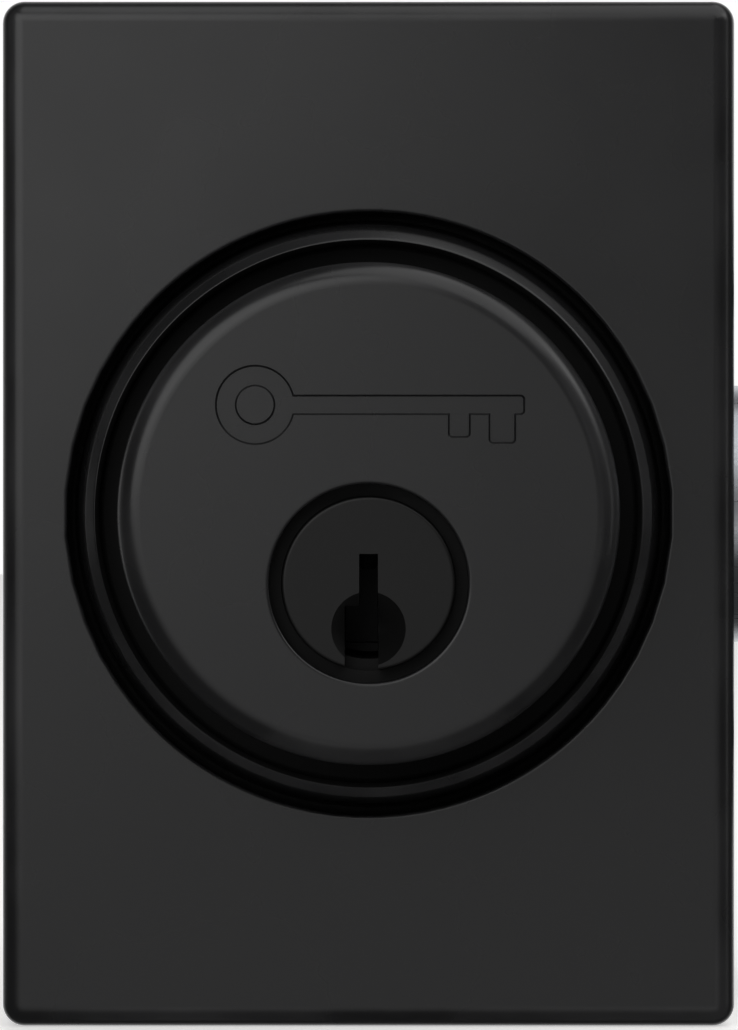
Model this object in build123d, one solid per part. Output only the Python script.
from build123d import *
import math
import os

# Single-cylinder deadbolt with rectangular trim, in millimetres.
# The origin is the centre of the cross bore on the outside face of the door.
# +X points to the door's edge, +Y goes from outside to inside, +Z is up.

# ---- Door that the lock fits -------------------------------------------------
door_thickness = 44.45
backset = 60.3
bolt_throw = 25.4

# ---- Trim plates, outside and inside -----------------------------------------
trim_width = 63.5
trim_height = 88.9
trim_depth = 7.5
trim_wall = 2.2
trim_round = 1.9

# ---- Outside: recess, collar and cylinder ------------------------------------
recess_floor = 2.2
recess_lip_round = 0.3
boss_wall = 2.2
collar_gap = 0.4
collar_height = 14.3
collar_rim_width = 0.92
collar_rim_drop = 1.1
collar_rim_land = 0.12
collar_rim_chamfer = 0.1
collar_wall = 0.95
collar_taper = 1.55
collar_ledge_thickness = 1.9
housing_wall = 1.27
housing_hole_gap = 0.33
housing_face = 20.0
housing_round = 2.0
housing_back = 8.0
flange_step = 1.73
flange_gap = 0.33
flange_thickness = 2.0
flange_seat = 8.5
mark_depth = 0.3
mark_height = 9.1
mark_bow_x = -9.5
mark_bow_radius = 3.2
mark_bow_hole = 1.6
mark_shank_x = 3.2
mark_shank_length = 19.5
mark_shank_width = 1.4
mark_first_tooth = (7.6, -1.5, 1.6, 2.2)
mark_second_tooth = (11.2, -1.7, 2.0, 2.8)

# ---- Lock core ---------------------------------------------------------------
axis_drop = 5.86
plug_radius = 6.35
plug_running_gap = 0.05
plug_head_step = 0.93
plug_head_gap = 0.08
plug_head_depth = 0.8
plug_face_inset = 0.3
plug_opening_gap = 1.07
plug_opening_chamfer = 0.3
plug_rim_round = 0.25
front_wall = 2.2
shell_wall = 2.5
shell_fit_gap = 0.1
bible_width = 9.0
chamber_height = 14.11
pin_count = 5
pin_spacing = 3.96
first_pin_setback = 5.2
pin_radius = 1.46
pin_running_gap = 0.04
bottom_pin_length = 5.0
bottom_pin_tip = 1.2
bottom_pin_tip_radius = 0.5
driver_pin_length = 5.5
shear_gap = 0.25
shear_step = 0.1
cover_width = 3.6
cover_thickness = 0.8
spring_wall = 0.3
keyway_top_width = 1.57
keyway_low_width = 2.83
keyway_low_shift = 0.585
keyway_top = 2.48
keyway_step = 1.9
key_guide_radius = 3.12
key_guide_drop = 3.8
key_guide_depth = 0.7
key_guide_narrowing = 1.2
guard_pin_radius = 1.2
guard_pin_wall = 0.8
guard_pin_length = 12.0
guard_pin_gap = 0.03
retainer_thickness = 1.2
retainer_radius = 20.0
retainer_screw_offset = 13.5
retainer_screw_height = 4.0
retainer_screw_radius = 1.4
retainer_screw_gap = 0.04
retainer_screw_length = 6.0
retainer_screw_head_step = 1.1
retainer_screw_head_height = 1.3
retainer_slot_width = 0.7
retainer_slot_depth = 0.6
retainer_clearance = 0.3

# ---- Plug cap and tailpiece --------------------------------------------------
plug_tail_step = 0.45
plug_tail_length = 0.9
cap_wall = 1.0
cap_pocket_wall = 1.7
cap_pocket_depth = 1.6
cap_back_wall = 1.0
cap_hole_radius = 3.2
tail_head_gap = 0.5
tail_head_thickness = 1.0
blade_width = 5.0
blade_thickness = 1.4
blade_gap = 0.1

# ---- Bolt, tube and crank ----------------------------------------------------
bolt_width = 14.0
bolt_tube_gap = 0.52
bolt_back = 21.0
bolt_nose_chamfer = 0.8
tube_radius = 11.9
tube_wall = 0.75
tube_back = 17.8
plate_fit_gap = 0.03
face_height = 57.2
face_width = 25.4
face_thickness = 1.6
face_corner = 6.35
bolt_window_gap = 0.35
edge_screw_spacing = 41.28
edge_screw_radius = 2.1
edge_screw_head = 4.1
edge_screw_neck = 2.3
edge_screw_neck_reach = 0.3
edge_screw_length = 19.0
edge_cross_arm = 2.0
edge_cross_half_width = 0.4
edge_cross_depth = 1.0
crank_swing = 90.0
crank_hub_radius = 4.4
crank_journal_radius = 3.6
crank_running_gap = 0.06
crank_arm_inner = 2.0
crank_arm_outer = 4.0
crank_end_radius = 3.0
crank_pin_radius = 1.5
case_inner_width = 11.2
case_wall = 1.2
case_bottom = 9.9
case_top = 9.0
case_back = 19.5
case_flange = 1.4
case_floor = 1.0
case_split = 0.1
case_window = 6.0
case_tail_gap = 0.5
rivet_radius = 1.5
rivet_head_radius = 2.3
rivet_head_height = 0.8
rivet_x = 14.5
rivet_drop = 6.2
tail_strip_thickness = 3.2
tail_bottom = 1.2
tail_cover = 0.5
fork_top = 12.3
fork_slack = 0.65
fork_front_arm = 2.0
fork_back_arm = 2.6
fork_floor_gap = 0.4
tail_embed = 11.5
tail_slot_gap = 0.05
tail_rivet_radius = 1.4
core_pin_radius = 2.5
core_pin_setback = 10.0
detent_thickness = 0.5
detent_nose_radius = 0.6
detent_gap = 0.3
detent_notch_radius = 0.9
detent_side_gap = 0.2
detent_eye_gap = 0.05

# ---- Inside: mounting plate and thumbturn ------------------------------------
mount_plate_width = 54.0
mount_plate_height = 60.0
mount_plate_thickness = 2.0
mount_plate_corner = 4.0
mount_plate_hole = 9.0
through_bolt_radius = 2.0
through_bolt_gap = 0.05
through_bolt_wall = 1.04
through_bolt_reach = 12.0
through_bolt_head_radius = 3.5
through_bolt_head_height = 2.2
through_bolt_head_gap = 0.4
through_bolt_head_round = 0.9
through_cross_arm = 2.2
through_cross_half_width = 0.5
through_cross_depth = 1.2
cover_screw_offset = 22.0
cover_screw_radius = 1.5
cover_screw_head_radius = 3.2
cover_screw_boss = 3.6
cover_screw_hole_gap = 0.15
cover_screw_sink = 0.05
cover_screw_end = 1.5
cover_cross_arm = 1.7
cover_cross_half_width = 0.35
cover_cross_depth = 0.9
spindle_radius = 5.0
spindle_running_gap = 0.06
bushing_wall = 1.4
bushing_fit_gap = 0.02
bushing_flange_radius = 8.2
bushing_flange_thickness = 0.4
turn_boss_wall = 1.5
turn_boss_length = 4.15
turn_gap = 0.15
turn_disc_radius = 11.0
turn_disc_thickness = 2.2
turn_lever_length = 38.0
turn_lever_width = 9.0
turn_lever_reach = 18.5
turn_lever_round = 1.9
turn_neck_length = 6.5
turn_neck_radius = 4.4
turn_disc_round = 0.8
turn_socket_depth = 3.0
turn_spindle_tail = 1.0
clip_thickness = 0.7
clip_groove_depth = 0.8
clip_width = 2.35
washer_thickness = 0.45
washer_radius = 7.4

# ---- Places worked out from the sizes above ----------------------------------
axis_z = -axis_drop
bolt_y = door_thickness / 2
bore_radius = plug_radius + plug_running_gap
shell_radius = bore_radius + shell_wall
shell_front = -(housing_face - front_wall)
bible_top = axis_z + plug_radius + chamber_height
plug_head_radius = plug_radius + plug_head_step
plug_opening_radius = plug_head_radius + plug_opening_gap
plug_tail_radius = plug_radius - plug_tail_step
cap_radius = plug_tail_radius + cap_wall
cap_pocket_radius = cap_radius - cap_pocket_wall
tail_head_radius = cap_pocket_radius - tail_head_gap
guard_pin_offset = shell_radius + shell_fit_gap + guard_pin_wall + guard_pin_radius
bushing_radius = spindle_radius + spindle_running_gap + bushing_wall
turn_boss_radius = bushing_radius + bushing_fit_gap + turn_boss_wall
clear_of_shell = max(bible_top, axis_drop + shell_radius) + shell_fit_gap + through_bolt_wall
clear_of_boss = axis_drop + turn_boss_radius + through_bolt_head_gap
through_bolt_offset = max(clear_of_shell + through_bolt_radius, clear_of_boss + through_bolt_head_radius)
housing_radius = through_bolt_offset + through_bolt_radius + housing_wall
flange_radius = housing_radius + flange_step
collar_rim_inner = flange_radius + flange_gap
collar_base = collar_rim_inner + collar_rim_width + collar_taper
recess_radius = collar_base + collar_gap
pin_hole_radius = pin_radius + pin_running_gap
pin_places = [shell_front + first_pin_setback + k * pin_spacing for k in range(pin_count)]
bottom_pin_top = axis_z + plug_radius - shear_gap
driver_pin_foot = bottom_pin_top + shear_gap + shear_step
driver_pin_top = driver_pin_foot + driver_pin_length
cover_bottom = bible_top - cover_thickness
plug_back = housing_back + 0.1
cap_back = plug_back + plug_tail_length + cap_pocket_depth + cap_back_wall
crank_radius = bolt_throw / (2 * math.sin(math.radians(crank_swing / 2)))
pin_x = -bolt_throw / 2
pin_z = axis_z + crank_radius * math.cos(math.radians(crank_swing / 2))
# the detent's nose sits beside the hub, down and back from its centre
detent_reach = crank_hub_radius + detent_nose_radius + detent_gap
detent_nose_z = -rivet_drop - rivet_radius - detent_thickness / 2
detent_nose_x = -math.sqrt(detent_reach ** 2 - (detent_nose_z - axis_z) ** 2)
tube_bore = tube_radius - tube_wall
bolt_height = 2 * math.sqrt((tube_bore - bolt_tube_gap) ** 2 - (bolt_width / 2) ** 2)
tail_top = bolt_height / 2 - tail_cover
face_back = backset - face_thickness
plate_back = face_back - face_thickness
inner_face = door_thickness
mount_plate_front = inner_face + mount_plate_thickness
trim_front = inner_face + trim_depth
trim_inside = trim_front - trim_wall
turn_boss_back = trim_front - turn_boss_length
turn_disc_back = trim_front + bushing_flange_thickness + turn_gap
clip_front = turn_boss_back - washer_thickness - turn_gap
spindle_end = clip_front - clip_thickness - turn_spindle_tail
blade_end = turn_disc_back - turn_socket_depth


# ---- Shapes used again and again ---------------------------------------------
def block(x0, x1, y0, y1, z0, z1):
    """A box between two corners."""
    middle = Pos((x0 + x1) / 2, (y0 + y1) / 2, (z0 + z1) / 2)
    return middle * Box(x1 - x0, y1 - y0, z1 - z0)


def rod_y(radius, y0, y1, x=0.0, z=0.0):
    """A round bar along Y."""
    return Pos(x, (y0 + y1) / 2, z) * Rot(90, 0, 0) * Cylinder(radius, y1 - y0)


def rod_x(radius, x0, x1, y=0.0, z=0.0):
    """A round bar along X."""
    return Pos((x0 + x1) / 2, y, z) * Rot(0, 90, 0) * Cylinder(radius, x1 - x0)


def rod_z(radius, z0, z1, x=0.0, y=0.0):
    """A round bar along Z."""
    return Pos(x, y, (z0 + z1) / 2) * Cylinder(radius, z1 - z0)


def cone_y(start_radius, end_radius, y0, y1, x=0.0, z=0.0):
    """A cone along Y that goes from one radius at y0 to the other at y1."""
    return Pos(x, (y0 + y1) / 2, z) * Rot(-90, 0, 0) * Cone(start_radius, end_radius, y1 - y0)


def cone_x(start_radius, end_radius, x0, x1, y=0.0, z=0.0):
    """A cone along X that goes from one radius at x0 to the other at x1."""
    return Pos((x0 + x1) / 2, y, z) * Rot(0, 90, 0) * Cone(start_radius, end_radius, x1 - x0)


def turned_y(points):
    """A solid of revolution about the Y axis from (radius, y) points."""
    outline = make_face(Polyline(*points, close=True))
    return revolve(outline, axis=Axis.Y)


def round_plate(x0, x1, y_middle, width, height, corner):
    """A plate across X with round corners."""
    sketch = Plane.YZ * RectangleRounded(width, height, corner)
    return Pos(x0, y_middle, 0) * extrude(sketch, x1 - x0)


def group(solids):
    """Several separate solids in one node."""
    return Compound(children=list(solids))


# ---- Outside pieces ----------------------------------------------------------
def trim_block(y_door, y_front):
    """A block as large as a trim plate, with its front edges and corners rounded."""
    low, high = min(y_door, y_front), max(y_door, y_front)
    blank = block(-trim_width / 2, trim_width / 2, low, high, -trim_height / 2, trim_height / 2)
    middle = (low + high) / 2
    outward = 1 if y_front > y_door else -1
    rounded = [e for e in blank.edges() if outward * (e.center().Y - middle) > -0.01]
    return fillet(rounded, trim_round)


def trim_hollow(y_door, y_inside):
    """The hollow behind a trim plate, open at the door's face."""
    low, high = min(y_door, y_inside), max(y_door, y_inside)
    half_width = trim_width / 2 - trim_wall
    half_height = trim_height / 2 - trim_wall
    return block(-half_width, half_width, low, high, -half_height, half_height)


def exterior_escutcheon():
    plate = trim_block(0, -trim_depth) - trim_hollow(0, -(trim_depth - trim_wall))
    plate += rod_y(recess_radius + boss_wall, -(trim_depth - trim_wall / 2), 0)
    plate -= rod_y(recess_radius, -trim_depth - 1, -recess_floor)
    plate -= rod_y(housing_radius + housing_hole_gap, -trim_depth, 1)
    lip = plate.edges().filter_by(GeomType.CIRCLE)
    lip = [e for e in lip if abs(e.radius - recess_radius) < 0.01 and e.center().Y < -trim_depth + 0.01]
    return fillet(lip, recess_lip_round)


def cylinder_collar():
    base = collar_base
    rim_inner = collar_rim_inner
    rim_outer = rim_inner + collar_rim_width
    shoulder = collar_height - collar_rim_drop
    ledge_top = -flange_seat
    ledge_bottom = ledge_top + collar_ledge_thickness
    bore = housing_radius + housing_hole_gap
    return turned_y(
        [
            (base, -recess_floor),
            (rim_outer, -shoulder),
            (rim_inner + collar_rim_land, -collar_height),
            (rim_inner, -collar_height + collar_rim_chamfer),
            (rim_inner, ledge_top),
            (bore, ledge_top),
            (bore, ledge_bottom),
            (rim_inner, ledge_bottom),
            (base - collar_wall, -recess_floor),
        ]
    )


def key_mark():
    """A plain key outline, as a shallow solid that is cut into the cylinder's face."""
    bow = Pos(mark_bow_x, 0) * (Circle(mark_bow_radius) - Circle(mark_bow_hole))
    mark = bow + Pos(mark_shank_x, 0) * Rectangle(mark_shank_length, mark_shank_width)
    for x, drop, width, height in (mark_first_tooth, mark_second_tooth):
        mark += Pos(x, drop) * Rectangle(width, height)
    sketch = Plane.XZ * mark
    return Pos(0, -housing_face + mark_depth, mark_height) * extrude(sketch, 2 * mark_depth)


def shell_outline(y0, y1, grow, top):
    """The key-hole shaped outline shared by the shell, its pocket and the retainer."""
    barrel = rod_y(shell_radius + grow, y0, y1, z=axis_z)
    half = bible_width / 2 + grow
    return barrel + block(-half, half, y0, y1, axis_z, top)


def cylinder_housing():
    body = rod_y(housing_radius, -housing_face, housing_back)
    face_edge = body.edges().filter_by(GeomType.CIRCLE).sort_by(Axis.Y)[0]
    body = fillet(face_edge, housing_round)
    body += rod_y(flange_radius, -flange_seat - flange_thickness, -flange_seat)
    body -= rod_y(plug_opening_radius, -housing_face - 1, shell_front, z=axis_z)
    body -= cone_y(plug_opening_radius + plug_opening_chamfer, plug_opening_radius, -housing_face,
                   -housing_face + plug_opening_chamfer, z=axis_z)
    body -= shell_outline(shell_front, housing_back + 1, shell_fit_gap, bible_top + shell_fit_gap)
    for side in (-1, 1):
        body -= rod_y(through_bolt_radius + through_bolt_gap, housing_back - through_bolt_reach - 2,
                      housing_back + 1, z=side * through_bolt_offset)
        body -= rod_y(guard_pin_radius + guard_pin_gap, shell_front, housing_back + 1,
                      x=side * guard_pin_offset, z=axis_z)
        body -= rod_y(retainer_screw_radius + retainer_screw_gap, housing_back - retainer_screw_length - 1,
                      housing_back + 1, x=side * retainer_screw_offset, z=retainer_screw_height)
    return body - key_mark()


def drill_guard_pins():
    return group(
        rod_y(guard_pin_radius, shell_front, shell_front + guard_pin_length,
              x=side * guard_pin_offset, z=axis_z)
        for side in (-1, 1)
    )


def cylinder_shell():
    body = shell_outline(shell_front, housing_back, 0, bible_top)
    body -= rod_y(bore_radius, shell_front - 1, housing_back + 1, z=axis_z)
    body -= rod_y(plug_head_radius + plug_head_gap, shell_front - 1,
                  shell_front + plug_head_depth, z=axis_z)
    for y in pin_places:
        body -= rod_z(pin_hole_radius, axis_z, bible_top + 1, y=y)
    half = cover_width / 2 + 0.05
    body -= block(-half, half, pin_places[0] - 2.6, housing_back + 1, cover_bottom - 0.05, bible_top + 1)
    return body


def chamber_cover():
    half = cover_width / 2
    return block(-half, half, pin_places[0] - 2.5, housing_back, cover_bottom, bible_top)


def keyway(y0, y1):
    """The stepped key slot, open at the bottom of the plug."""
    upper = block(-keyway_top_width / 2, keyway_top_width / 2, y0, y1,
                  axis_z - keyway_step - 0.5, axis_z + keyway_top)
    low_left = -keyway_low_shift - keyway_low_width / 2
    lower = block(low_left, low_left + keyway_low_width, y0, y1,
                  axis_z - plug_head_radius - 1, axis_z - keyway_step)
    return upper + lower


def plug():
    face = -(housing_face - plug_face_inset)
    body = rod_y(plug_radius, face, plug_back, z=axis_z)
    body += rod_y(plug_head_radius, face, shell_front + plug_head_depth - 0.05, z=axis_z)
    body += rod_y(plug_tail_radius, plug_back - 1, plug_back + plug_tail_length, z=axis_z)
    rim = body.edges().filter_by(GeomType.CIRCLE).sort_by(Axis.Y)[0]
    body = fillet(rim, plug_rim_round)
    for y in pin_places:
        body -= rod_z(pin_hole_radius, axis_z - 0.4, axis_z + plug_radius + 1, y=y)
    body -= keyway(face - 1, plug_back + plug_tail_length + 1)
    body -= cone_y(key_guide_radius, key_guide_radius - key_guide_narrowing, face, face + key_guide_depth,
                   z=axis_z - key_guide_drop)
    return body


def plug_cap():
    cup = rod_y(cap_radius, plug_back, cap_back, z=axis_z)
    cup -= rod_y(plug_tail_radius + 0.02, plug_back - 1, plug_back + plug_tail_length, z=axis_z)
    cup -= rod_y(cap_pocket_radius, plug_back, cap_back - cap_back_wall, z=axis_z)
    return cup - rod_y(cap_hole_radius, plug_back, cap_back + 1, z=axis_z)


def bottom_pin(y):
    tip = bottom_pin_tip
    foot = bottom_pin_top - bottom_pin_length
    shank = rod_z(pin_radius, foot + tip, bottom_pin_top, y=y)
    return shank + Pos(0, y, foot + tip / 2) * Cone(bottom_pin_tip_radius, pin_radius, tip)


def driver_pin(y):
    return rod_z(pin_radius, driver_pin_foot, driver_pin_top, y=y)


def pin_spring(y):
    outer = pin_radius - 0.1
    sleeve = rod_z(outer, driver_pin_top, cover_bottom, y=y)
    return sleeve - rod_z(outer - spring_wall, driver_pin_top - 1, cover_bottom + 1, y=y)


def shell_retainer():
    plate = rod_y(retainer_radius, housing_back, housing_back + retainer_thickness)
    plate -= rod_y(cap_radius + 0.4, housing_back - 1, housing_back + 3, z=axis_z)
    for side in (-1, 1):
        plate -= rod_y(through_bolt_radius + retainer_clearance, housing_back - 1, housing_back + 3,
                       z=side * through_bolt_offset)
        plate -= rod_y(retainer_screw_radius + 0.1, housing_back - 1, housing_back + 3,
                       x=side * retainer_screw_offset, z=retainer_screw_height)
    return plate


def retainer_screw(x):
    top = housing_back + retainer_thickness
    head_radius = retainer_screw_radius + retainer_screw_head_step
    head_top = top + retainer_screw_head_height
    half_slot = retainer_slot_width / 2
    head = rod_y(head_radius, top, head_top, x=x, z=retainer_screw_height)
    head -= block(x - head_radius - 1, x + head_radius + 1, head_top - retainer_slot_depth, head_top + 1,
                  retainer_screw_height - half_slot, retainer_screw_height + half_slot)
    shank = rod_y(retainer_screw_radius, housing_back - retainer_screw_length, top, x=x, z=retainer_screw_height)
    return head + shank


def shell_retainer_screws():
    return group(retainer_screw(side * retainer_screw_offset) for side in (-1, 1))


def tailpiece():
    head_front = plug_back + plug_tail_length + (cap_pocket_depth - tail_head_thickness) / 2
    head = rod_y(tail_head_radius, head_front, head_front + tail_head_thickness, z=axis_z)
    blade = block(-blade_thickness / 2, blade_thickness / 2, head_front, blade_end,
                  axis_z - blade_width / 2, axis_z + blade_width / 2)
    return head + blade


# ---- Door edge pieces --------------------------------------------------------
def bolt():
    half_width, half_height = bolt_width / 2, bolt_height / 2
    bar = block(bolt_back, backset, bolt_y - half_width, bolt_y + half_width, -half_height, half_height)
    nose = [e for e in bar.edges() if e.center().X > backset - 0.01]
    bar = chamfer(nose, bolt_nose_chamfer)
    half_slot = tail_strip_thickness / 2 + tail_slot_gap
    bar -= block(bolt_back - 1, bolt_back + tail_embed + 0.2, bolt_y - half_slot, bolt_y + half_slot,
                 tail_bottom - 0.1, tail_top + 0.1)
    bar -= rod_y(tail_rivet_radius + 0.02, bolt_y - half_width - 1, bolt_y + half_width + 1,
                 x=bolt_back + tail_embed / 2, z=(tail_bottom + tail_top) / 2)
    return bar - rod_z(core_pin_radius + 0.02, -half_height - 1, half_height + 1,
                       x=backset - core_pin_setback, y=bolt_y)


def bolt_core_pin():
    reach = bolt_height / 2 - 0.1
    return rod_z(core_pin_radius, -reach, reach, x=backset - core_pin_setback, y=bolt_y)


def bolt_tail():
    half = tail_strip_thickness / 2
    slot_half = crank_pin_radius + fork_slack
    fork_back = pin_x - slot_half - fork_back_arm
    fork_front = pin_x + slot_half + fork_front_arm
    strip = block(fork_back, bolt_back + tail_embed, bolt_y - half, bolt_y + half, tail_bottom, tail_top)
    strip += block(fork_back, fork_front, bolt_y - half, bolt_y + half, tail_bottom, fork_top)
    strip -= block(pin_x - slot_half, pin_x + slot_half, bolt_y - half - 1, bolt_y + half + 1,
                   pin_z - crank_pin_radius - fork_floor_gap, fork_top + 1)
    return strip - rod_y(tail_rivet_radius + 0.02, bolt_y - half - 1, bolt_y + half + 1,
                         x=bolt_back + tail_embed / 2, z=(tail_bottom + tail_top) / 2)


def tail_rivet():
    reach = bolt_width / 2 - 0.1
    return rod_y(tail_rivet_radius, bolt_y - reach, bolt_y + reach,
                 x=bolt_back + tail_embed / 2, z=(tail_bottom + tail_top) / 2)


def crank():
    hub = rod_y(crank_hub_radius, bolt_y - case_inner_width / 2 + 0.1,
                bolt_y + case_inner_width / 2 - 0.1, z=axis_z)
    reach = case_inner_width / 2 + case_wall
    hub += rod_y(crank_journal_radius, bolt_y - reach, bolt_y + reach, z=axis_z)
    swing = crank_swing / 2
    arm_length = crank_radius
    for side in (-1, 1):
        near, far = sorted((side * crank_arm_inner, side * crank_arm_outer))
        arm = block(-crank_end_radius + 0.5, crank_end_radius - 0.5, near, far, 0, arm_length)
        arm += rod_y(crank_end_radius, near, far, z=arm_length)
        arm -= rod_y(crank_pin_radius + 0.02, near - 1, far + 1, z=arm_length)
        hub += Pos(0, bolt_y, axis_z) * Rot(0, -swing, 0) * arm
    half = blade_width / 2 + blade_gap
    thin = blade_thickness / 2 + blade_gap
    hub -= block(-thin, thin, bolt_y - reach - 1, bolt_y + reach + 1, axis_z - half, axis_z + half)
    for turn in (0, -crank_swing):
        notch = rod_y(detent_notch_radius, bolt_y + crank_arm_outer, bolt_y + reach - case_wall,
                      x=detent_nose_x, z=detent_nose_z - axis_z)
        hub -= Pos(0, 0, axis_z) * Rot(0, turn, 0) * notch
    return hub


def crank_pin():
    return rod_y(crank_pin_radius, bolt_y - crank_arm_outer, bolt_y + crank_arm_outer, x=pin_x, z=pin_z)


def detent_spring():
    near = bolt_y + crank_arm_outer + detent_side_gap
    far = bolt_y + case_inner_width / 2 - detent_side_gap
    low = detent_nose_z - detent_thickness / 2
    eye = rivet_radius + detent_eye_gap
    loop = rod_y(eye + detent_thickness, near, far, x=-rivet_x, z=-rivet_drop)
    leaf = block(-rivet_x, detent_nose_x, near, far, low, low + detent_thickness)
    nose = rod_y(detent_nose_radius, near, far, x=detent_nose_x, z=detent_nose_z)
    hole = rod_y(eye, near - 1, far + 1, x=-rivet_x, z=-rivet_drop)
    return loop + leaf + nose - hole


def case_half(side):
    """One half of the crank case: a side wall, half a floor and half of the end flange."""
    inner, outer = case_inner_width / 2, case_inner_width / 2 + case_wall
    near, far = sorted((side * inner, side * outer))
    wall = block(-case_back, tube_back, near, far, -case_bottom, case_top)
    near, far = sorted((side * case_split, side * outer))
    floor = block(-case_back, tube_back, near, far, -case_bottom, -case_bottom + case_floor)
    floor -= block(-case_window, case_window, near - 1, far + 1, -case_bottom - 1, -case_bottom + 2)
    flange = rod_x(tube_bore - 0.05, tube_back - 0.01, tube_back + case_flange)
    near, far = sorted((side * case_split, side * (tube_bore + 1)))
    flange &= block(0, 2 * tube_back, near, far, -tube_bore, tube_bore)
    half_window = tail_strip_thickness / 2 + case_tail_gap
    flange -= block(0, 2 * tube_back, -half_window, half_window, tail_bottom - case_tail_gap, tube_bore + 1)
    wall = Pos(0, bolt_y, 0) * (wall + floor + flange)
    journal = crank_journal_radius + crank_running_gap
    wall -= rod_y(journal, bolt_y - outer - 1, bolt_y + outer + 1, z=axis_z)
    wall -= block(-case_window, case_window, bolt_y - inner, bolt_y + inner, -case_bottom - 1, 0)
    for x in (-rivet_x, rivet_x):
        wall -= rod_y(rivet_radius + 0.03, bolt_y - outer - 1, bolt_y + outer + 1, x=x, z=-rivet_drop)
    return wall


def case_rivet(x):
    reach = case_inner_width / 2 + case_wall
    shank = rod_y(rivet_radius, bolt_y - reach, bolt_y + reach, x=x, z=-rivet_drop)
    for side in (-1, 1):
        near, far = sorted((side * reach, side * (reach + rivet_head_height)))
        shank += rod_y(rivet_head_radius, bolt_y + near, bolt_y + far, x=x, z=-rivet_drop)
    return shank


def case_rivets():
    return group(case_rivet(x) for x in (-rivet_x, rivet_x))


def bolt_tube():
    tube = rod_x(tube_radius, tube_back, face_back, y=bolt_y)
    return tube - rod_x(tube_bore, tube_back - 1, face_back + 1, y=bolt_y)


def backing_plate():
    plate = round_plate(plate_back, face_back, bolt_y, face_width, face_height, face_corner)
    plate -= rod_x(tube_radius + plate_fit_gap, plate_back - 1, face_back + 1, y=bolt_y)
    for side in (-1, 1):
        plate -= rod_x(edge_screw_radius + 1.0, plate_back - 1, face_back + 1,
                       y=bolt_y, z=side * edge_screw_spacing / 2)
    return plate


def faceplate():
    plate = round_plate(face_back, backset, bolt_y, face_width, face_height, face_corner)
    half_width = bolt_width / 2 + bolt_window_gap
    half_height = bolt_height / 2 + bolt_window_gap
    plate -= block(face_back - 1, backset + 1, bolt_y - half_width, bolt_y + half_width,
                   -half_height, half_height)
    for side in (-1, 1):
        plate -= cone_x(edge_screw_head - face_thickness + 0.1, edge_screw_head + 0.1, face_back, backset,
                        y=bolt_y, z=side * edge_screw_spacing / 2)
    return plate


def faceplate_screw(z):
    head_depth = edge_screw_head - edge_screw_radius
    head = cone_x(edge_screw_radius, edge_screw_head, backset - head_depth, backset, y=bolt_y, z=z)
    shank = rod_x(edge_screw_radius, backset - edge_screw_length, backset - head_depth, y=bolt_y, z=z)
    shank += rod_x(edge_screw_neck, plate_back - edge_screw_neck_reach, backset - head_depth, y=bolt_y, z=z)
    floor = backset - edge_cross_depth
    wide, narrow = edge_cross_arm, edge_cross_half_width
    cross = block(floor, backset + 1, bolt_y - wide, bolt_y + wide, z - narrow, z + narrow)
    cross += block(floor, backset + 1, bolt_y - narrow, bolt_y + narrow, z - wide, z + wide)
    return head + shank - cross


def faceplate_screws():
    return group(faceplate_screw(side * edge_screw_spacing / 2) for side in (-1, 1))


# ---- Inside pieces -----------------------------------------------------------
def mounting_plate():
    sketch = Plane.XZ * RectangleRounded(mount_plate_width, mount_plate_height, mount_plate_corner)
    plate = Pos(0, mount_plate_front, 0) * extrude(sketch, mount_plate_thickness)
    plate -= rod_y(mount_plate_hole, inner_face - 1, mount_plate_front + 1, z=axis_z)
    for side in (-1, 1):
        plate -= rod_y(through_bolt_radius + 0.15, inner_face - 1, mount_plate_front + 1,
                       z=side * through_bolt_offset)
        plate -= rod_y(cover_screw_radius + 0.05, inner_face - 1, mount_plate_front + 1,
                       x=side * cover_screw_offset, z=axis_z)
    return plate


def through_bolt(z):
    head = rod_y(through_bolt_head_radius, mount_plate_front, mount_plate_front + through_bolt_head_height, z=z)
    crown = head.edges().filter_by(GeomType.CIRCLE).sort_by(Axis.Y)[-1]
    head = fillet(crown, through_bolt_head_round)
    top = mount_plate_front + through_bolt_head_height
    floor = top - through_cross_depth
    wide, narrow = through_cross_arm, through_cross_half_width
    head -= block(-wide, wide, floor, top + 1, z - narrow, z + narrow)
    head -= block(-narrow, narrow, floor, top + 1, z - wide, z + wide)
    return head + rod_y(through_bolt_radius, housing_back - through_bolt_reach, mount_plate_front, z=z)


def through_bolts():
    return group(through_bolt(side * through_bolt_offset) for side in (-1, 1))


def interior_escutcheon():
    plate = trim_block(inner_face, trim_front) - trim_hollow(inner_face, trim_inside)
    plate += rod_y(turn_boss_radius, turn_boss_back, trim_inside + 0.5, z=axis_z)
    plate -= rod_y(bushing_radius + bushing_fit_gap, inner_face, trim_front + 1, z=axis_z)
    head_depth = cover_screw_head_radius - cover_screw_radius
    for side in (-1, 1):
        x = side * cover_screw_offset
        plate += rod_y(cover_screw_boss, mount_plate_front, trim_inside + 0.5, x=x, z=axis_z)
        hole = cover_screw_radius + cover_screw_hole_gap
        plate -= rod_y(hole, inner_face, trim_front + 1, x=x, z=axis_z)
        plate -= cone_y(hole, hole + head_depth, trim_front - head_depth, trim_front, x=x, z=axis_z)
    return plate


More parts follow.
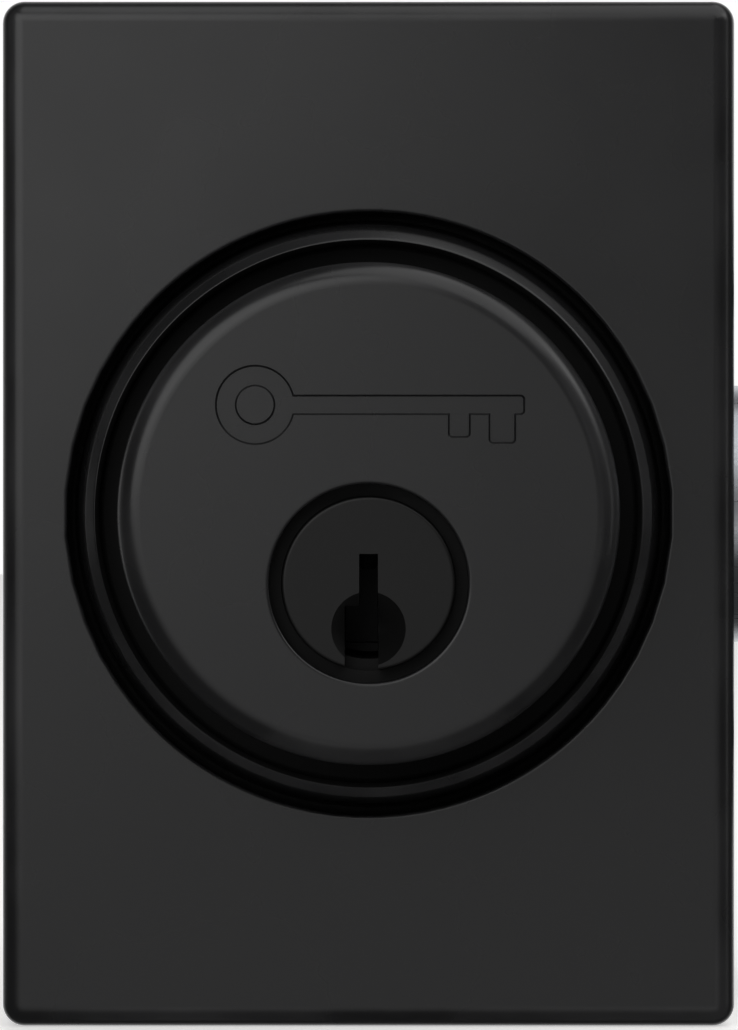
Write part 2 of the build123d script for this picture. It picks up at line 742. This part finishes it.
def escutcheon_screw(x):
    head_depth = cover_screw_head_radius - cover_screw_radius
    top = trim_front - cover_screw_sink
    floor = top - cover_cross_depth
    wide, narrow = cover_cross_arm, cover_cross_half_width
    head = cone_y(cover_screw_radius, cover_screw_head_radius, top - head_depth, top, x=x, z=axis_z)
    shank = rod_y(cover_screw_radius, inner_face - cover_screw_end, top - head_depth, x=x, z=axis_z)
    cross = block(x - wide, x + wide, floor, top + 1, axis_z - narrow, axis_z + narrow)
    cross += block(x - narrow, x + narrow, floor, top + 1, axis_z - wide, axis_z + wide)
    return head + shank - cross


def escutcheon_screws():
    return group(escutcheon_screw(side * cover_screw_offset) for side in (-1, 1))


def thumbturn_bushing():
    sleeve = rod_y(bushing_radius, turn_boss_back, trim_front, z=axis_z)
    sleeve += rod_y(bushing_flange_radius, trim_front, trim_front + bushing_flange_thickness, z=axis_z)
    return sleeve - rod_y(spindle_radius + spindle_running_gap, turn_boss_back - 1, trim_front + 2, z=axis_z)


def thumbturn():
    disc_front = turn_disc_back + turn_disc_thickness
    disc = rod_y(turn_disc_radius, turn_disc_back, disc_front, z=axis_z)
    rim = disc.edges().filter_by(GeomType.CIRCLE).sort_by(Axis.Y)[-1]
    disc = fillet(rim, turn_disc_round)
    lever_back = disc_front + turn_neck_length
    lever = block(-turn_lever_width / 2, turn_lever_width / 2, lever_back, disc_front + turn_lever_reach,
                  axis_z - turn_lever_length / 2, axis_z + turn_lever_length / 2)
    lever = fillet(lever.edges(), turn_lever_round)
    neck = rod_y(turn_neck_radius, disc_front - 0.5, lever_back + 3, z=axis_z)
    spindle = rod_y(spindle_radius, spindle_end, turn_disc_back + 0.5, z=axis_z)
    groove = rod_y(spindle_radius + 1, clip_front - clip_thickness - 0.05, clip_front + 0.05, z=axis_z)
    groove -= rod_y(spindle_radius - clip_groove_depth, clip_front - 2, clip_front + 2, z=axis_z)
    half = blade_width / 2 + blade_gap
    thin = blade_thickness / 2 + blade_gap
    socket = block(-thin, thin, spindle_end - 1, blade_end + 0.5, axis_z - half, axis_z + half)
    return disc + neck + lever + spindle - groove - socket


def thumbturn_clip():
    groove_radius = spindle_radius - clip_groove_depth + 0.03
    ring = rod_y(groove_radius + clip_width, clip_front - clip_thickness, clip_front, z=axis_z)
    ring -= rod_y(groove_radius, clip_front - 2, clip_front + 1, z=axis_z)
    return ring - block(-groove_radius + 1, groove_radius - 1, clip_front - 2, clip_front + 1,
                        axis_z - 10, axis_z)


def thumbturn_washer():
    ring = rod_y(washer_radius, turn_boss_back - washer_thickness, turn_boss_back, z=axis_z)
    return ring - rod_y(spindle_radius + 0.15, turn_boss_back - 2, turn_boss_back + 1, z=axis_z)


# ---- Write one file for each piece -------------------------------------------
pieces = {
    "exterior_escutcheon": exterior_escutcheon(),
    "cylinder_collar": cylinder_collar(),
    "cylinder_housing": cylinder_housing(),
    "drill_guard_pins": drill_guard_pins(),
    "cylinder_shell": cylinder_shell(),
    "chamber_cover": chamber_cover(),
    "shell_retainer": shell_retainer(),
    "shell_retainer_screws": shell_retainer_screws(),
    "plug": plug(),
    "plug_cap": plug_cap(),
    "tailpiece": tailpiece(),
    "bolt": bolt(),
    "bolt_core_pin": bolt_core_pin(),
    "bolt_tail": bolt_tail(),
    "tail_rivet": tail_rivet(),
    "crank": crank(),
    "crank_pin": crank_pin(),
    "detent_spring": detent_spring(),
    "case_outer": case_half(-1),
    "case_inner": case_half(1),
    "case_rivets": case_rivets(),
    "bolt_tube": bolt_tube(),
    "backing_plate": backing_plate(),
    "faceplate": faceplate(),
    "faceplate_screws": faceplate_screws(),
    "mounting_plate": mounting_plate(),
    "through_bolts": through_bolts(),
    "interior_escutcheon": interior_escutcheon(),
    "escutcheon_screws": escutcheon_screws(),
    "thumbturn_bushing": thumbturn_bushing(),
    "thumbturn_washer": thumbturn_washer(),
    "thumbturn_clip": thumbturn_clip(),
    "thumbturn": thumbturn(),
}
for number, place in enumerate(pin_places, start=1):
    pieces[f"bottom_pin_{number}"] = bottom_pin(place)
    pieces[f"driver_pin_{number}"] = driver_pin(place)
    pieces[f"pin_spring_{number}"] = pin_spring(place)

os.makedirs("parts", exist_ok=True)
for name, piece in pieces.items():
    export_step(piece, f"parts/{name}.step")
